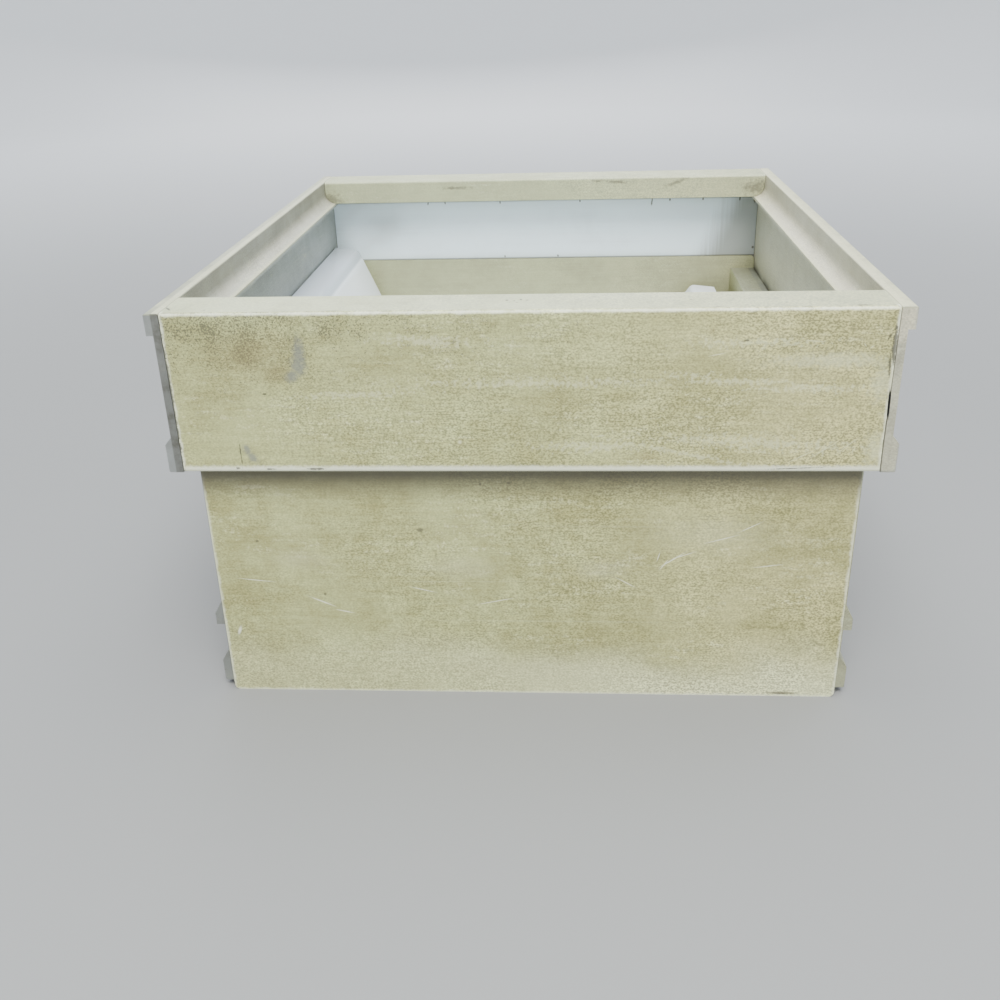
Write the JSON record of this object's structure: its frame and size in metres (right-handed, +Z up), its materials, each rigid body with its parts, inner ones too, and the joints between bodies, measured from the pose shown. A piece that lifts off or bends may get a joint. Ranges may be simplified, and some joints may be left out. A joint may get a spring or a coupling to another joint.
{
  "type": "small parts organizer",
  "caption": "Open two-tier box of extruded aluminium rails and lacquered plates, with runner lips along its sides and a loose folded white tray for small parts.",
  "frame": {"origin": "centre of the footprint at table level", "axes": "+X to the right seen from the front, +Y from front to back, +Z up"},
  "size_m": [0.2084, 0.237, 0.1265],
  "materials": {
    "cream_lacquer": "aged satin cream lacquer, pitted, bare on edges",
    "rail_lacquer": "worn satin cream lacquer over extruded aluminium",
    "bare_aluminium": "mill",
    "rivet_aluminium": "dull",
    "screw_steel": "zinc plated",
    "white_plastic": "gloss"
  },
  "bodies": {
    "case": {"upper_front_plate": "cream_lacquer", "upper_back_plate": "cream_lacquer", "upper_left_rail": "rail_lacquer", "upper_right_rail": "rail_lacquer", "rail_screws": "screw_steel", "lower_front_plate": "cream_lacquer", "lower_back_plate": "cream_lacquer", "lower_left_side": "rail_lacquer", "lower_right_side": "rail_lacquer", "floor_plate": "bare_aluminium", "corner_angle_front_left": "bare_aluminium", "corner_angle_front_right": "bare_aluminium", "corner_angle_back_left": "bare_aluminium", "corner_angle_back_right": "bare_aluminium", "side_rivets": "rivet_aluminium", "floor_rivets": "rivet_aluminium"},
    "insert": {"insert_tray": "white_plastic"}
  },
  "joints": [
    {"name": "insert_lift", "type": "slide", "parent": "case", "child": "insert", "axis": [0.2299, -0.4067, 0.8842], "range_m": [0, 0.144]}
  ]
}
